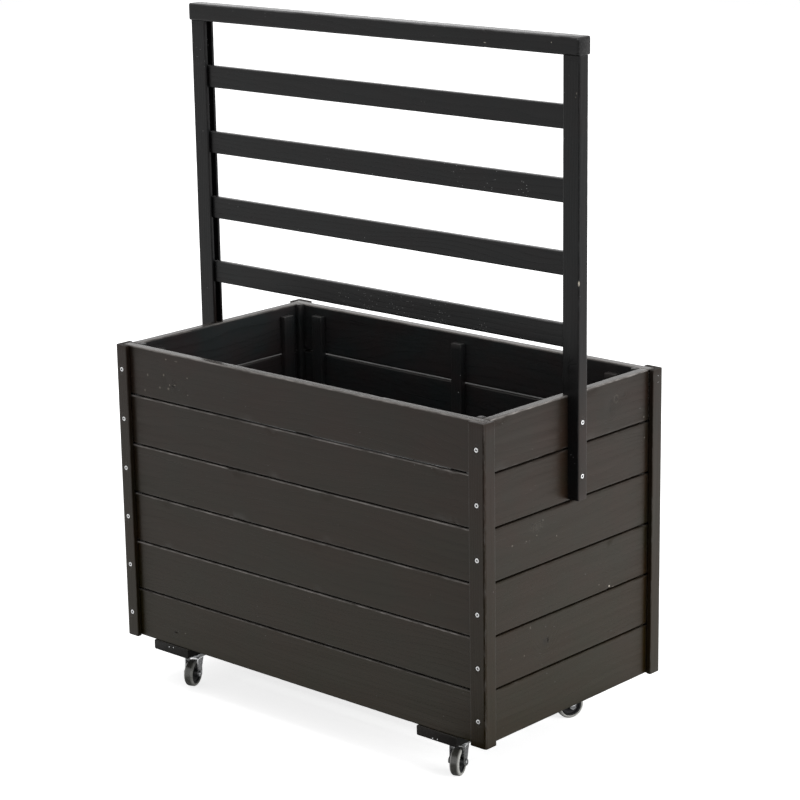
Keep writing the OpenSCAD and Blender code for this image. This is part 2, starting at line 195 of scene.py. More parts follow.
# Marks seen on the walls: kind, place on the outside of the box and half sizes along X, Y and Z in mm, and how
# strong a light one is, if not 1
MARKS = (
    ("dark", (-239, -183.5, 471.5), (1.7, 4.0, 1.4)),
    ("dark", (-253, -183.5, 95), (3.4, 4.0, 0.75)),
    ("ring", (342, 96, 492), (4.0, 4.4, 5.0)),
    ("shade", (342, 84, 491), (4.0, 4.5, 4.0)),
    ("shade", (342, 82, 479), (4.0, 3.5, 5.0)),
    ("shade", (342, 113, 494), (4.0, 4.0, 3.5)),
    ("crackle", (342, -75, 352), (4.0, 16.0, 8.0)),
    ("dark", (342, -64, 358), (3.0, 3.6, 1.1)),
    ("dark", (342, -84, 358), (3.0, 2.6, 0.9)),
    ("shade", (342, -57, 186), (4.0, 8.0, 8.0)),
    ("dark", (342, -52, 186), (4.0, 0.9, 4.6)),
    ("light", (342, 83, 227), (2.0, 1.7, 1.5)),
    ("light", (342, 60, 235), (2.0, 1.5, 1.0), 0.2),
    ("light", (342, 92, 224), (2.0, 1.8, 1.0), 0.25),
    ("light", (342, 159, 453), (2.0, 1.1, 1.1), 0.35),
    ("light", (342, 161, 423), (2.0, 1.3, 0.9), 0.25),
    ("shade", (-254, -183.5, 480), (3.0, 2.0, 3.0)),
    ("shade", (-233, -183.5, 469), (3.5, 2.0, 3.0)),
    ("shade", (-210, -183.5, 466), (3.0, 2.0, 3.0)),
    ("light", (-258, -183.5, 485), (1.5, 2.0, 1.8), 0.4),
    ("light", (-246, -183.5, 472), (1.4, 2.0, 1.4), 0.38),
    ("light", (-236, -183.5, 473.5), (1.6, 2.0, 1.1), 0.34),
    ("light", (-249, -183.5, 466), (2.2, 2.0, 2.0), 0.32),
    ("light", (-267, -183.5, 465), (1.8, 2.0, 1.6), 0.3),
    ("light", (-209, -183.5, 488), (1.6, 2.0, 1.2), 0.3),
    ("light", (-292, -183.5, 480), (1.5, 2.0, 2.0), 0.3),
    ("light", (-299, -183.5, 456), (1.2, 2.0, 2.0), 0.3),
    ("light", (-252, -183.5, 509), (1.8, 2.0, 1.2), 0.35),
    ("light", (-231, -183.5, 509), (3.2, 2.0, 0.8), 0.28),
    ("light", (-209, -183.5, 463), (1.4, 2.0, 1.2), 0.26),
    ("light", (-233, -183.5, 98), (1.4, 2.0, 1.2), 0.22),
    ("light", (342, -62, 358), (2.0, 1.6, 1.6), 0.14),
    ("light", (342, -97, 337), (2.0, 1.1, 1.0), 0.24),
    ("light", (342, -75, 340), (2.0, 1.3, 1.0), 0.2),
    ("light", (342, -126, 338), (2.0, 1.6, 1.6), 0.2),
    ("light", (342, -33, 329), (2.0, 1.0, 1.2), 0.3),
    ("light", (342, -89, 214), (2.0, 1.5, 2.0), 0.16),
    ("light", (342, -102, 178), (2.0, 1.1, 1.1), 0.22),
)
TRELLIS_MARKS = (
    ("light", (359.3, -9, 672), (1.3, 1.6, 3.6)),
    ("shade", (344, -9.5, 550), (5.0, 2.0, 6.0)),
    ("light", (355, -9.5, 921), (0.9, 1.0, 1.6), 0.3),
    ("light", (353.6, -9.5, 916), (0.8, 1.0, 1.0), 0.25),
    ("light", (204, -12.5, 976), (2.2, 1.5, 0.6)),
    ("light", (316, -12.5, 984), (0.8, 1.5, 0.8)),
)
# Where the specks are thick: place and reach, in mm
DRIFTS = (
    ((-239, -183.5, 475), 16), ((342, -90, 336), 24), ((342, -50, 190), 30), ((342, 70, 229), 16),
    ((342, 150, 470), 10), ((342, 60, 505), 14),
)
TRELLIS_DRIFTS = (
    ((150, -4.5, 789), 26), ((205, -4.5, 785), 26), ((262, -4.5, 782), 24), ((-90, -4.5, 795), 8),
    ((90, -4.5, 886), 9), ((-66, -4.5, 594), 26), ((-20, -4.5, 590), 30), ((40, -4.5, 592), 36),
    ((110, -4.5, 588), 40), ((188, -4.5, 586), 24),
)


def box_inside(t, place, _):
    """1 on the faces inside the box, which get a lighter, cooler copy of the stain as painted light in the box's
    shade.
    """
    parts = t.parts(t.vector("ABSOLUTE", place))
    x = t.fit(parts[0], 0.3275, 0.332, 1.0, 0.0)
    y = t.fit(parts[1], 0.169, 0.1735, 1.0, 0.0)
    return t.times(x, y)


def above_rim(t, place, facing):
    """0 on the outer faces of the tongues beside the box and 1 on the trellis that stands above it and on faces that
    look to the front or back, which on the tongues is painted shade.
    """
    high = t.fit(t.parts(place)[2], 0.49, 0.575)
    return t.most(high, t.fit(t.math("ABSOLUTE", facing[1]), 0.5, 0.8))


def reach_of(t, place, centre, half):
    """Distance from a mark's centre, 1 on its outline."""
    away = t.vector("SUBTRACT", place, metres(centre))
    return t.vector("LENGTH", t.vector("DIVIDE", away, metres(half)))


def wood(name, low, warm, cool, where_cool, worn, marks=(), drifts=(), thick=0.3, speck=(0.24, 0.235, 0.23),
         fine=1.0, rough_grain=1.0, roughness=0.42, level=0.3, gloss=WHITE):
    """Opaque stain on planed timber. The grain attribute runs along the piece, across it and into it, in metres,
    another attribute is 1 on an arris and carries rubbing and a painted highlight there, a third one scales a painted
    sheen on faces that look upward, with stain rubbed off there too, and the matt one is 1 on end grain that has
    drunk the stain."""
    t = Tree(bpy.data.materials.new(name))
    place, grain = t.place(), t.attribute("grain", "Vector")
    wear, bare, matt = (t.attribute(name) for name in ("wear", "bare", "matt"))
    facing = t.parts(t.node("ShaderNodeNewGeometry").outputs["Normal"])
    # Painted sheen on faces that look upward, broken into patches along the grain and whole on flat tops, with stain
    # rubbed off there too
    patchy = t.fit(t.grained(grain, 26.0, 10.0, 3.0, 0.65), 0.38, 0.6, 0.25, 0.95)
    patchy = t.most(patchy, t.fit(facing[2], 0.8, 0.97))
    upward = t.times(t.times(t.fit(facing[2], 0.15, 0.65), bare), patchy)

    # Growth rings about a pith that wanders below the face, drawn round the knots
    wander = t.grained(grain, 1.6, 7.0)
    parts = t.parts(grain)
    across = t.plus(parts[1], t.fit(wander, 0.2, 0.8, -0.022, 0.022))
    depth = t.grained(grain, 0.9, 0.0, 1.0)
    depth = t.plus(parts[2], t.fit(depth, 0.25, 0.75, 0.01, 0.05))
    radius = t.math("SQRT", t.plus(t.times(across, across), t.times(depth, depth)))
    crazing = t.noise(place, 900.0, 2.0, 0.7)
    dark, light = 0.0, 0.0
    for kind, centre, half, *strength in marks:
        strength = strength[0] if strength else 1.0
        away = reach_of(t, place, centre, half)
        if kind in ("ring", "shade"):
            radius = t.plus(radius, t.fit(away, 0.3, 4.0, 0.012, 0.0, smooth=True))
        if kind == "dark":
            dark = t.most(dark, t.fit(away, 0.6, 1.15, 1.0, 0.0))
        elif kind == "shade":
            dark = t.most(dark, t.fit(away, 0.2, 1.25, 0.55, 0.0, smooth=True))
        elif kind == "ring":
            dark = t.most(dark, t.fit(away, 0.4, 0.8, 0.5, 0.0))
            band = t.math("ABSOLUTE", t.math("SUBTRACT", away, 1.0))
            band = t.times(t.fit(band, 0.05, 0.35, 1.0, 0.0), crazing)
            band = t.times(band, t.fit(t.noise(place, 300.0, 2.0), 0.45, 0.6, 0.05, 0.16))
            light = t.most(light, band)
        elif kind == "light":
            light = t.most(light, t.fit(away, 0.4, 1.2, strength, 0.0))
        elif kind == "crackle":
            near = t.fit(away, 0.4, 1.2, 1.0, 0.0)
            dark = t.most(dark, t.times(near, t.fit(crazing, 0.44, 0.36, 0.0, 0.8)))
            light = t.most(light, t.times(near, t.fit(crazing, 0.58, 0.66, 0.0, 0.22)))
    late = t.math("POWER", t.math("FRACT", t.math("DIVIDE", radius, 0.0042)), 3.0)
    fibre = t.grained(grain, 35.0, 900.0, 3.0, 0.6)
    streak = t.grained(grain, 5.0, 120.0, 3.0, 0.55)
    cloud = t.grained(grain, 3.0, 12.0, 3.0)

    # Pinprick specks, thick in places
    cells = {"Vector": t.stretched(grain, 230.0, 270.0, 270.0), "Scale": fine}
    cells = t.node("ShaderNodeTexVoronoi", cells, feature="F1")
    pick = t.node("ShaderNodeSeparateColor", {0: cells.outputs["Color"]})
    luck = t.fit(t.grained(grain, 7.0, 22.0, 2.0, 0.6), 0.62, 0.8, 0.0, 0.16)
    for centre, reach in drifts:
        away = t.vector("DISTANCE", place, metres(centre))
        luck = t.plus(luck, t.fit(away, reach * MM * 0.2, reach * MM, thick, 0.0, smooth=True))
    lucky = t.math("GREATER_THAN", t.plus(pick.outputs[0], luck), 0.9965)
    specks = t.times(t.fit(cells.outputs["Distance"], 0.07 * fine, 0.16 * fine, 1.0, 0.0), lucky)
    specks = t.times(specks, t.fit(pick.outputs[1], 0.0, 1.0, 0.25, 1.0))

    # A second colour where the mask is 1: inside the box a lighter, cooler painted light in its shade; on the trellis
    # a darker stain above the rim and painted shade on the tongues' front and back faces
    cooler = where_cool(t, place, facing) if where_cool else 0.0
    relief = t.fit(cooler, 0.0, 1.0, 1.0, rough_grain) if where_cool else 1.0
    # Darker and yellower towards the bottom of the box: painted shade
    stain = t.mix(t.fit(t.parts(place)[2], 0.1, 0.5), low, warm)
    stain = t.mix(cooler, stain, cool)
    tint = t.fit(t.noise(t.stretched(place, 13.0, 13.0, 17.0), 1.0, 4.0, 0.6), 0.36, 0.64)
    stain = t.mix(1.0, stain, t.mix(tint, (1.1, 0.95, 0.95), (0.86, 1.06, 1.08)), "MULTIPLY")
    base = t.mix(t.fit(cloud, 0.25, 0.75), (0.88, 0.88, 0.88), (1.14, 1.14, 1.14))
    base = t.mix(t.fit(streak, 0.3, 0.7, 0.0, 0.5), base, (0.82, 0.82, 0.82))
    base = t.mix(t.math("MULTIPLY", t.times(late, 0.3), relief, clamp=True), base, (0.5, 0.5, 0.5))
    base = t.mix(t.fit(fibre, 0.45, 0.75, 0.0, 0.25), base, (1.4, 1.4, 1.4))
    base = t.mix(1.0, stain, base, "MULTIPLY")
    rub_and_sheen_noise = t.grained(grain, 60.0, 400.0, 3.0, 0.6)
    rubbed = t.times(wear, t.fit(rub_and_sheen_noise, 0.5, 0.66))
    base = t.mix(t.times(rubbed, 0.7), base, worn)
    rub_and_sheen_patches = t.fit(rub_and_sheen_noise, 0.3, 0.7, 0.4, 1.0)
    # Painted sheen on upward faces and a brighter painted highlight on their arrises, in pale copies of the rubbed
    # colour
    base = t.mix(t.times(upward, rub_and_sheen_patches), base, shade(worn, 1.3))
    base = t.mix(t.times(t.times(upward, wear), rub_and_sheen_patches), base, shade(worn, 4.0))
    base = t.mix(t.times(dark, 0.85), base, shade(warm, 0.15))
    base = t.mix(light, base, (0.42, 0.38, 0.32))
    base = t.mix(t.times(matt, 0.8), base, shade(cool, 0.7))
    base = t.mix(specks, base, speck)

    rough = t.fit(t.plus(streak, t.times(cloud, 0.5)), 0.45, 1.05, roughness - 0.07, roughness + 0.1)
    rough = t.math("SUBTRACT", rough, t.times(upward, t.fit(rub_and_sheen_noise, 0.35, 0.65, 0.12, 0.24)))
    upright = t.fit(t.math("ABSOLUTE", facing[2]), 0.05, 0.25, 1.0, 0.0)
    rough = t.math("SUBTRACT", rough, t.times(t.times(wear, upright), 0.14))
    rough = t.math("ADD", rough, t.times(matt, 0.5), clamp=True)
    height = t.plus(t.times(fibre, 0.22), t.times(late, -0.42))
    height = t.times(t.plus(height, t.times(streak, 0.4)), relief)
    height = t.plus(height, t.times(t.plus(specks, dark), -0.6))
    return t.finish(
        Base_Color=base, Roughness=rough, Specular_IOR_Level=level, Specular_Tint=gloss,
        Normal=t.bump(height, 0.0003, 0.6),
    )


BOX_STAIN = (0.0138, 0.0088, 0.0062)
# The box's colour at the bottom, darker and yellower: painted shade
LOW_PAINTED_SHADE_TONE = (0.0108, 0.007, 0.001)
# A lighter, cooler copy of the stain for inside the box: painted light in its shade
INSIDE_PAINTED_LIGHT_TONE = (0.025, 0.0242, 0.0248)
# The trellis's darker stain above the rim, also put on the tongues' front and back faces as painted shade
TRELLIS_TONE_AND_TONGUE_SHADE = (0.0052, 0.005, 0.0052)
BATTEN_STAIN = (0.0055, 0.0045, 0.0035)
box_wood = wood(
    "box_stained_timber", LOW_PAINTED_SHADE_TONE, BOX_STAIN, INSIDE_PAINTED_LIGHT_TONE, box_inside, (0.085, 0.079, 0.075), MARKS, DRIFTS,
    rough_grain=1.8, roughness=0.33, level=0.27, gloss=(1.0, 0.935, 0.865, 1.0))
trellis_wood = wood(
    "trellis_stained_timber", BOX_STAIN, BOX_STAIN, TRELLIS_TONE_AND_TONGUE_SHADE, above_rim, (0.06, 0.059, 0.06), TRELLIS_MARKS,
    TRELLIS_DRIFTS, 0.32, (0.4, 0.4, 0.4), fine=1.6, rough_grain=2.0, roughness=0.34, level=0.222)
under_wood = wood(
    "batten_stained_timber", BATTEN_STAIN, BATTEN_STAIN, BATTEN_STAIN, None, (0.05, 0.045, 0.04),
    roughness=0.55, level=0.2)


def metal(name, colour, roughness, metallic=1.0):
    """Bright zinc plate: fine crystal clouding, drawn lines and dull spots, with the recesses darkened by dirt and
    painted shade.
    """
    t = Tree(bpy.data.materials.new(name))
    grime, place = t.attribute("grime"), t.place()
    cloud = t.noise(place, 260.0, 3.0, 0.6)
    line = t.noise(t.stretched(place, 400.0, 400.0, 3000.0), 1.0, 2.0)
    spot = t.fit(t.noise(place, 900.0, 2.0), 0.62, 0.72)
    base = t.mix(t.fit(cloud, 0.3, 0.7), shade(colour, 0.8), shade(colour, 1.05))
    base = t.mix(t.times(spot, 0.35), base, shade(colour, 0.5))
    # Recesses darkened: dirt and painted shade
    base = t.mix(grime, base, (0.012, 0.011, 0.01))
    rough = t.fit(t.plus(cloud, t.times(spot, 0.4)), 0.3, 1.1, roughness - 0.08, roughness + 0.2)
    height = t.plus(t.times(line, 0.6), t.times(cloud, 0.4))
    return t.finish(Base_Color=base, Metallic=metallic, Roughness=rough, Normal=t.bump(height, 0.0001, 0.35))


def moulded(name, colour, roughness, level=0.4, side=None):
    """Moulded plastic or rubber: a faint mould texture, dust and scuffs. A second colour shows where the attribute
    sidewall is 1; the darker colour then left on the tread is painted shade."""
    t = Tree(bpy.data.materials.new(name))
    if side:
        colour, tread = side, colour
    place = t.place()
    fine = t.noise(place, 2500.0, 2.0)
    dust = t.noise(place, 120.0, 4.0, 0.65)
    scuff = t.noise(t.stretched(place, 300.0, 300.0, 900.0), 1.0, 3.0, 0.7)
    base = t.mix(t.fit(dust, 0.35, 0.7), shade(colour, 0.85), shade(colour, 1.12))
    if side:
        # The tread in a darker colour: painted shade
        shaded_tread = t.mix(t.fit(dust, 0.35, 0.7), shade(tread, 0.8), shade(tread, 1.25))
        base = t.mix(t.attribute("sidewall"), shaded_tread, base)
    base = t.mix(t.fit(scuff, 0.58, 0.75, 0.0, 0.2), base, shade(colour, 0.55))
    rough = t.fit(t.plus(dust, scuff), 0.6, 1.4, roughness - 0.08, roughness + 0.12)
    height = t.plus(t.times(fine, 0.4), scuff)
    return t.finish(Base_Color=base, Roughness=rough, Specular_IOR_Level=level, Normal=t.bump(height, 0.0001, 0.4))


zinc = metal("bright_zinc", (0.78, 0.79, 0.8), 0.3)
screw_zinc = metal("dull_screw_zinc", (0.88, 0.885, 0.89), 0.4, 0.6)
hub_plastic = moulded("black_hub_plastic", (0.012, 0.012, 0.013), 0.42)
# Pale grey rubber on the sidewalls and a dark tread, whose darkness is painted shade
tyre_rubber = moulded("grey_tyre_rubber", (0.06, 0.06, 0.052), 0.28, 0.9, (0.4, 0.4, 0.375))


# ------------------------------------------------------------------ meshes


def mesh_of(name, verts, faces):
    """A mesh from points in millimetres."""
    mesh = bpy.data.meshes.new(name)
    mesh.from_pydata([metres(v) for v in verts], [], faces)
    return mesh


def linked(name, data):
    made = bpy.data.objects.new(name, data)
    bpy.context.scene.collection.objects.link(made)
    return made


def make(name, verts, faces, material, body, slot, replaces=(), attributes=None, sharp=42.0):
    """A closed mesh piece, riding on a body."""
    mesh = mesh_of(name, verts, faces)
    for key, values in (attributes or {}).items():
        vector = not isinstance(values[0], float)
        layer = mesh.attributes.new(key, "FLOAT_VECTOR" if vector else "FLOAT", "POINT")
        layer.data.foreach_set("vector" if vector else "value", [c for v in values for c in v] if vector else values)
    outward(mesh)
    mesh.materials.append(material)
    piece = linked(name, mesh)
    smooth(piece, sharp)
    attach(piece, body)
    if replaces:
        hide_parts(*replaces)
    return piece


def outward(mesh):
    """Joins points that meet and turns every face outward."""
    clean = bmesh.new()
    clean.from_mesh(mesh)
    bmesh.ops.remove_doubles(clean, verts=clean.verts, dist=0.00001)
    bmesh.ops.recalc_face_normals(clean, faces=clean.faces)
    clean.to_mesh(mesh)
    clean.free()


def smooth(piece, sharp=42.0):
    mesh = piece.data
    mesh.polygons.foreach_set("use_smooth", [True] * len(mesh.polygons))
    mesh.set_sharp_from_angle(angle=math.radians(sharp))


def ease_edges(piece, width):
    """A small round on every sharp edge."""
    bevel = piece.modifiers.new("eased_edges", "BEVEL")
    bevel.width = width * MM
    bevel.segments = 2
    bevel.limit_method = "ANGLE"
    bevel.angle_limit = math.radians(40)
    bevel.harden_normals = False


def carve(piece, verts, faces):
    """Cuts a closed shape, in millimetres, out of a piece."""
    mesh = mesh_of("cutter", verts, faces)
    outward(mesh)
    cutter = linked("cutter", mesh)
    cut = piece.modifiers.new("holes", "BOOLEAN")
    cut.operation, cut.solver, cut.object = "DIFFERENCE", "EXACT", cutter
    bpy.context.view_layer.update()
    shaped = bpy.data.meshes.new_from_object(piece.evaluated_get(bpy.context.evaluated_depsgraph_get()))
    piece.modifiers.clear()
    old, name = piece.data, piece.data.name
    piece.data = shaped
    bpy.data.meshes.remove(old)
    shaped.name = name
    bpy.data.objects.remove(cutter)
    bpy.data.meshes.remove(mesh)
    smooth(piece)


def lathe(profile, segments, place):
    """Turns a closed profile of (along, radius) round an axis. place puts (along, across, up) where it belongs."""
    verts, faces, n = [], [], len(profile)
    for k in range(segments):
        angle = 2 * math.pi * k / segments
        c, s = math.cos(angle), math.sin(angle)
        verts += [place(a, r * c, r * s) for a, r in profile]
    for k in range(segments):
        a, b = k * n, ((k + 1) % segments) * n
        faces += [(a + i, a + (i + 1) % n, b + (i + 1) % n, b + i) for i in range(n)]
    return verts, faces


def joined(*parts):
    verts, faces = [], []
    for v, f in parts:
        base = len(verts)
        verts += v
        faces += [tuple(i + base for i in face) for face in f]
    return verts, faces


def eased_polygon(corners, faces=4, turns=4):
    """Points (x, y, normal x, normal y, on an arris) round a shape with right-angled corners (x, y, radius),
    anticlockwise. An inner corner has no radius."""
    points, count = [], len(corners)
    for i, (x, y, r) in enumerate(corners):
        px, py, _ = corners[i - 1]
        nx, ny, nr = corners[(i + 1) % count]
        a, b = Vector((x - px, y - py)).normalized(), Vector((nx - x, ny - y)).normalized()
        na, nb = Vector((a.y, -a.x)), Vector((b.y, -b.x))
        if r > 0:
            start = math.atan2(na.y, na.x)
            for k in range(turns + 1):
                c, s = math.cos(start + math.pi / 2 * k / turns), math.sin(start + math.pi / 2 * k / turns)
                arris = 1.0 - abs(2.0 * k / turns - 1.0) * 0.6
                points.append((x - r * (na.x + nb.x) + r * c, y - r * (na.y + nb.y) + r * s, c, s, arris))
        else:
            points.append((x, y, na.x + nb.x, na.y + nb.y, 0.0))
        sx, sy, ex, ey = x + b.x * r, y + b.y * r, nx - b.x * nr, ny - b.y * nr
        close = 0.8 / max(4.0, math.hypot(ex - sx, ey - sy))
        for f in [close] + [k / faces for k in range(1, faces)] + [1.0 - close]:
            points.append((sx + (ex - sx) * f, sy + (ey - sy) * f, nb.x, nb.y, 0.0))
    return points


def bar_outline(width, height, radius, faces=4, turns=4):
    x, y = width / 2, height / 2
    return eased_polygon([(-x, -y, radius), (x, -y, radius), (x, y, radius), (-x, y, radius)], faces, turns)


AXES = {
    "x": Matrix(((0, 0, 1), (1, 0, 0), (0, 1, 0))),  # outline x, y and length to Y, Z and X
    "y": Matrix(((1, 0, 0), (0, 0, 1), (0, 1, 0))),  # to X, Z and Y
    "z": Matrix(((1, 0, 0), (0, 1, 0), (0, 0, 1))),  # to X, Y and Z
}
UNEVEN = 0.16  # how far a planed face strays, in mm
timbers = 0


class Timber:
    """Collects planed lengths of timber into one mesh, each with its grain along its length."""

    # The first number scales the painted sheen on upward faces, with some stain rubbed off there, the second how much
    # the arrises show rubbing and painted highlight, the third how matt and dark the end grain is
    def __init__(self, bare=1.0, worn=1.0, end_grain=0.0):
        self.verts, self.faces, self.grain, self.wear, self.matt = [], [], [], [], []
        self.bare, self.worn, self.end_grain = bare, worn, end_grain

    def add(self, outline, axis, middle, start, end, step=9.0, ends=0.8, nicks=(), chip=0.45, notch=None):
        """A length with eased ends, slightly uneven faces and chipped arrises, marked for rubbing and a painted
        highlight.
        Nicks are (place along, side of the outline, length, depth). Below the height of a notch the outline stays
        beyond its x."""
        global timbers
        timbers += 1
        seed, turn, base, n = timbers, AXES[axis], len(self.verts), len(outline)
        inner = end - start - 2 * ends
        count = max(2, round(inner / step))
        stations = [(start, ends), (start + ends * 0.3, ends * 0.3)]
        stations += [(start + ends + inner * k / count, 0.0) for k in range(count + 1)]
        stations += [(end - ends * 0.3, ends * 0.3), (end, ends)]
        stations = [(s, inset, True) for s, inset in stations]
        if notch:
            height, beyond = notch
            stations = [(s, inset, s < height) for s, inset, _ in stations if abs(s - height) > 1.5]
            stations += [(height, 0.0, True), (height, 0.0, False)]
            stations.sort(key=lambda item: (item[0], not item[2]))
        for s, inset, low in stations:
            for x, y, nx, ny, arris in outline:
                wave = noise.noise(Vector((s * 0.021 + seed * 3.7, x * 0.03 + nx * 2.0, y * 0.03 + ny * 2.0)))
                bite = noise.noise(Vector((s * 0.11 + seed * 5.1, nx * 1.3 + x * 0.01, ny * 1.3 + y * 0.01)))
                off = UNEVEN * (wave - 1.0) * 0.5 - arris * chip * max(0.0, bite - 0.12) - inset
                for where, side, length, deep in nicks:
                    if arris > 0 and nx * side[0] + ny * side[1] > 0.6:
                        off -= deep * math.exp(-(((s - where) / length) ** 2))
                px, py = x + nx * off, y + ny * off
                if notch and low:
                    px = max(px, beyond) if beyond < 0 else min(px, beyond)
                self.verts.append(tuple(turn @ Vector((px + middle[0], py + middle[1], s))))
                self.grain.append((s * MM + seed * 1.37, x * MM + seed * 0.31, y * MM + seed * 0.17))
                self.matt.append(float(self.end_grain if s in (start, end) else 0.0))
                self.wear.append(float(max(arris, 0.7 if inset > 0 else 0.0)) * self.worn)
        for r in range(len(stations) - 1):
            for k in range(n):
                a, b = base + r * n + k, base + r * n + (k + 1) % n
                self.faces.append((a, b, b + n, a + n))
        self.faces.append(tuple(range(base, base + n))[::-1])
        self.faces.append(tuple(range(base + (len(stations) - 1) * n, base + len(stations) * n)))
        return self

    def piece(self, node, material=box_wood, slot="box_wood"):
        """Makes the piece in place of a CAD node."""
        looks = {"grain": self.grain, "wear": self.wear, "matt": self.matt, "bare": [self.bare] * len(self.verts)}
        return make(f"{node}_timber", self.verts, self.faces, material, "planter", slot, (node,), looks)


def level_axis(start, direction):
    """A place for turned(): about a level line from a point."""
    start, direction, side = Vector(start), Vector(direction), Vector((0, 0, 1))
    third = direction.cross(side)
    return lambda along, a, b: tuple(start + direction * along + side * a + third * b)


def screw_cutter(heads, inward):
    """Countersunk holes at points on a face, going inward."""
    profile = [(-1.0, 0.0), (-1.0, 4.1), (0.2, 3.9), (2.6, 1.65), (40.0, 1.65), (40.0, 0.0)]
    return joined(*[turned(profile, 24, level_axis(head, inward)) for head in heads])


def turned(profile, segments, place):
    """Turns an open profile of (along, radius) that starts and ends on the axis into a closed shape."""
    verts = [place(profile[0][0], 0.0, 0.0)]
    faces, rim = [], profile[1:-1]
    n = len(rim)
    for k in range(segments):
        c, s = math.cos(2 * math.pi * k / segments), math.sin(2 * math.pi * k / segments)
        verts += [place(a, r * c, r * s) for a, r in rim]
    verts.append(place(profile[-1][0], 0.0, 0.0))
    last = len(verts) - 1
    for k in range(segments):
        a, b = 1 + k * n, 1 + ((k + 1) % segments) * n
        faces.append((0, a, b))
        faces += [(a + i, a + i + 1, b + i + 1, b + i) for i in range(n - 1)]
        faces.append((a + n - 1, last, b + n - 1))
    return verts, faces


# ------------------------------------------------------------------- box

BOARD_OUTLINE = bar_outline(BOARD_T, BOARD_H, BOARD_EASING, 6, 5)
NICKS = {
    ("front", 4): ((-128, (-1, 1), 4, 2.2), (-110, (-1, 1), 9, 0.8), (60, (-1, 1), 5, 1.0)),
    ("front", 5): ((268, (-1, 1), 9, 0.8), (289, (-1, 1), 4, 1.8), (-40, (-1, 1), 6, 0.9)),
    ("front", 3): ((-262, (-1, -1), 6, 0.7), (40, (-1, 1), 5, 0.6)),
    ("front", 6): ((332, (-1, 1), 7, 0.6), (-90, (-1, 1), 12, 0.4), (150, (1, 1), 8, 0.4)),
    ("right", 3): ((83, (1, -1), 3, 1.0),),
    ("right", 6): ((-150, (1, 1), 9, 0.6), (40, (1, 1), 12, 0.4)),
}
# How much painted sheen a board gets on top and how much its arrises show rubbing and painted highlight: most on the
# front boards and the top row, little elsewhere and on the front's bottom arrises
for row in ROWS:
    for wall, side in (("front", -1), ("rear", 1)):
        board = Timber(*((1.0, 0.3 if row == 1 else 1.0) if row == 6 or wall == "front" else (0.05, 0.15)))
        middle = side * (LONG_OUT - BOARD_T / 2), board_z(row)
        board.add(BOARD_OUTLINE, "x", middle, -LONG_BOARD_HALF, LONG_BOARD_HALF, 5.0, nicks=NICKS.get((wall, row), ()))
        board.piece(f"{wall}_board_{row}")
    for wall, side in (("left", -1), ("right", 1)):
        board = Timber(*((1.0 if wall == "right" else 0.6, 1.0) if row == 6 else (0.1, 0.25)))
        middle = side * (END_OUT - BOARD_T / 2), board_z(row)
        board.add(BOARD_OUTLINE, "y", middle, -END_BOARD_HALF, END_BOARD_HALF, 5.0, nicks=NICKS.get((wall, row), ()))
        board.piece(f"{wall}_board_{row}")


def slit_cutter(x, y, z, along, half_length, half_width, deep):
    """A narrow boat-shaped cut at a point on a wall's face: along X and deep in Y, or along Z and deep in X."""
    profile = [(-half_length, 0.0), (-half_length * 0.6, half_width * 0.8), (half_length * 0.1, half_width),
               (half_length * 0.7, half_width * 0.6), (half_length, 0.0)]

    def place(a, b, c):
        c = c * deep / half_width
        return (x + a, y + c, z + b) if along == "x" else (x + c, y + b, z + a)

    return turned(profile, 12, place)


FRONT_FACE, RIGHT_FACE = -183.4, 341.9
for name, cuts in (
    ("front_board_6_timber", (
        slit_cutter(-239, FRONT_FACE, 471.2, "x", 2.6, 1.3, 2.5),
        slit_cutter(-235, FRONT_FACE, 474.5, "z", 1.6, 0.8, 2.0),
    )),
    ("front_board_1_timber", (slit_cutter(-253, FRONT_FACE, 95, "x", 4.2, 0.9, 3.0),)),
    ("right_board_2_timber", (slit_cutter(RIGHT_FACE, -51.5, 186, "z", 4.8, 0.8, 3.0),)),
):
    carve(bpy.data.objects[name], *joined(*cuts))
CORNERS = {"front_right": (1, -1), "front_left": (-1, -1), "rear_right": (1, 1), "rear_left": (-1, 1)}
for corner, (sx, sy) in CORNERS.items():
    long_leg, end_leg = leg_widths(corner)
    shape = [(0, 0, 3.6), (long_leg, 0, 1.3), (long_leg, LEG_T, 2.0)]
    shape += [(LEG_T, LEG_T, 0), (LEG_T, end_leg, 2.0), (0, end_leg, 1.3)]
    shape = [(-sx * x, -sy * y, r) for x, y, r in shape]
    if sx * sy < 0:
        shape.reverse()
    post = Timber(0.25, 0.6, 0.3 if corner == "front_right" else 0.9)
    post.add(eased_polygon(shape), "z", (sx * BOX_HALF, sy * BOX_HALF_DEPTH), BOARDS_Z - 0.5, RIM_Z, chip=0.2)
    post = post.piece(f"corner_post_{corner}")
    heads = [(sx * (BOX_HALF - long_leg / 2), sy * BOX_HALF_DEPTH, board_z(row)) for row in ROWS]
    carve(post, *screw_cutter(heads, (0, -sy, 0)))

battens = Timber(0.12, 0.3)
for sx, sy in CORNERS.values():
    corner = [(0, 0, 4), (10, 0, 0.8), (10, 10, 0.8), (0, 10, 0.8)]
    corner = [(sx * x, sy * y, r) for x, y, r in corner]
    if sx * sy < 0:
        corner.reverse()
    battens.add(eased_polygon(corner, 3), "z", (sx * (INNER_X - 10.0), sy * (INNER_Y - 10.0)), FLOOR_TOP_Z, RIM_Z)
for side in (-1, 1):
    for x in (-283, 0, 283):
        batten = bar_outline(20, 10, 1.2, 3)
        battens.add(batten, "z", (x, side * (INNER_Y - 5.0)), FLOOR_TOP_Z, INSIDE_BATTEN_TOP)
    for y in (-134.5, 134.5):
        batten = bar_outline(10, 20, 1.2, 3)
        battens.add(batten, "z", (side * (INNER_X - 5.0), y), FLOOR_TOP_Z, INSIDE_BATTEN_TOP)
battens.piece("inside_battens")

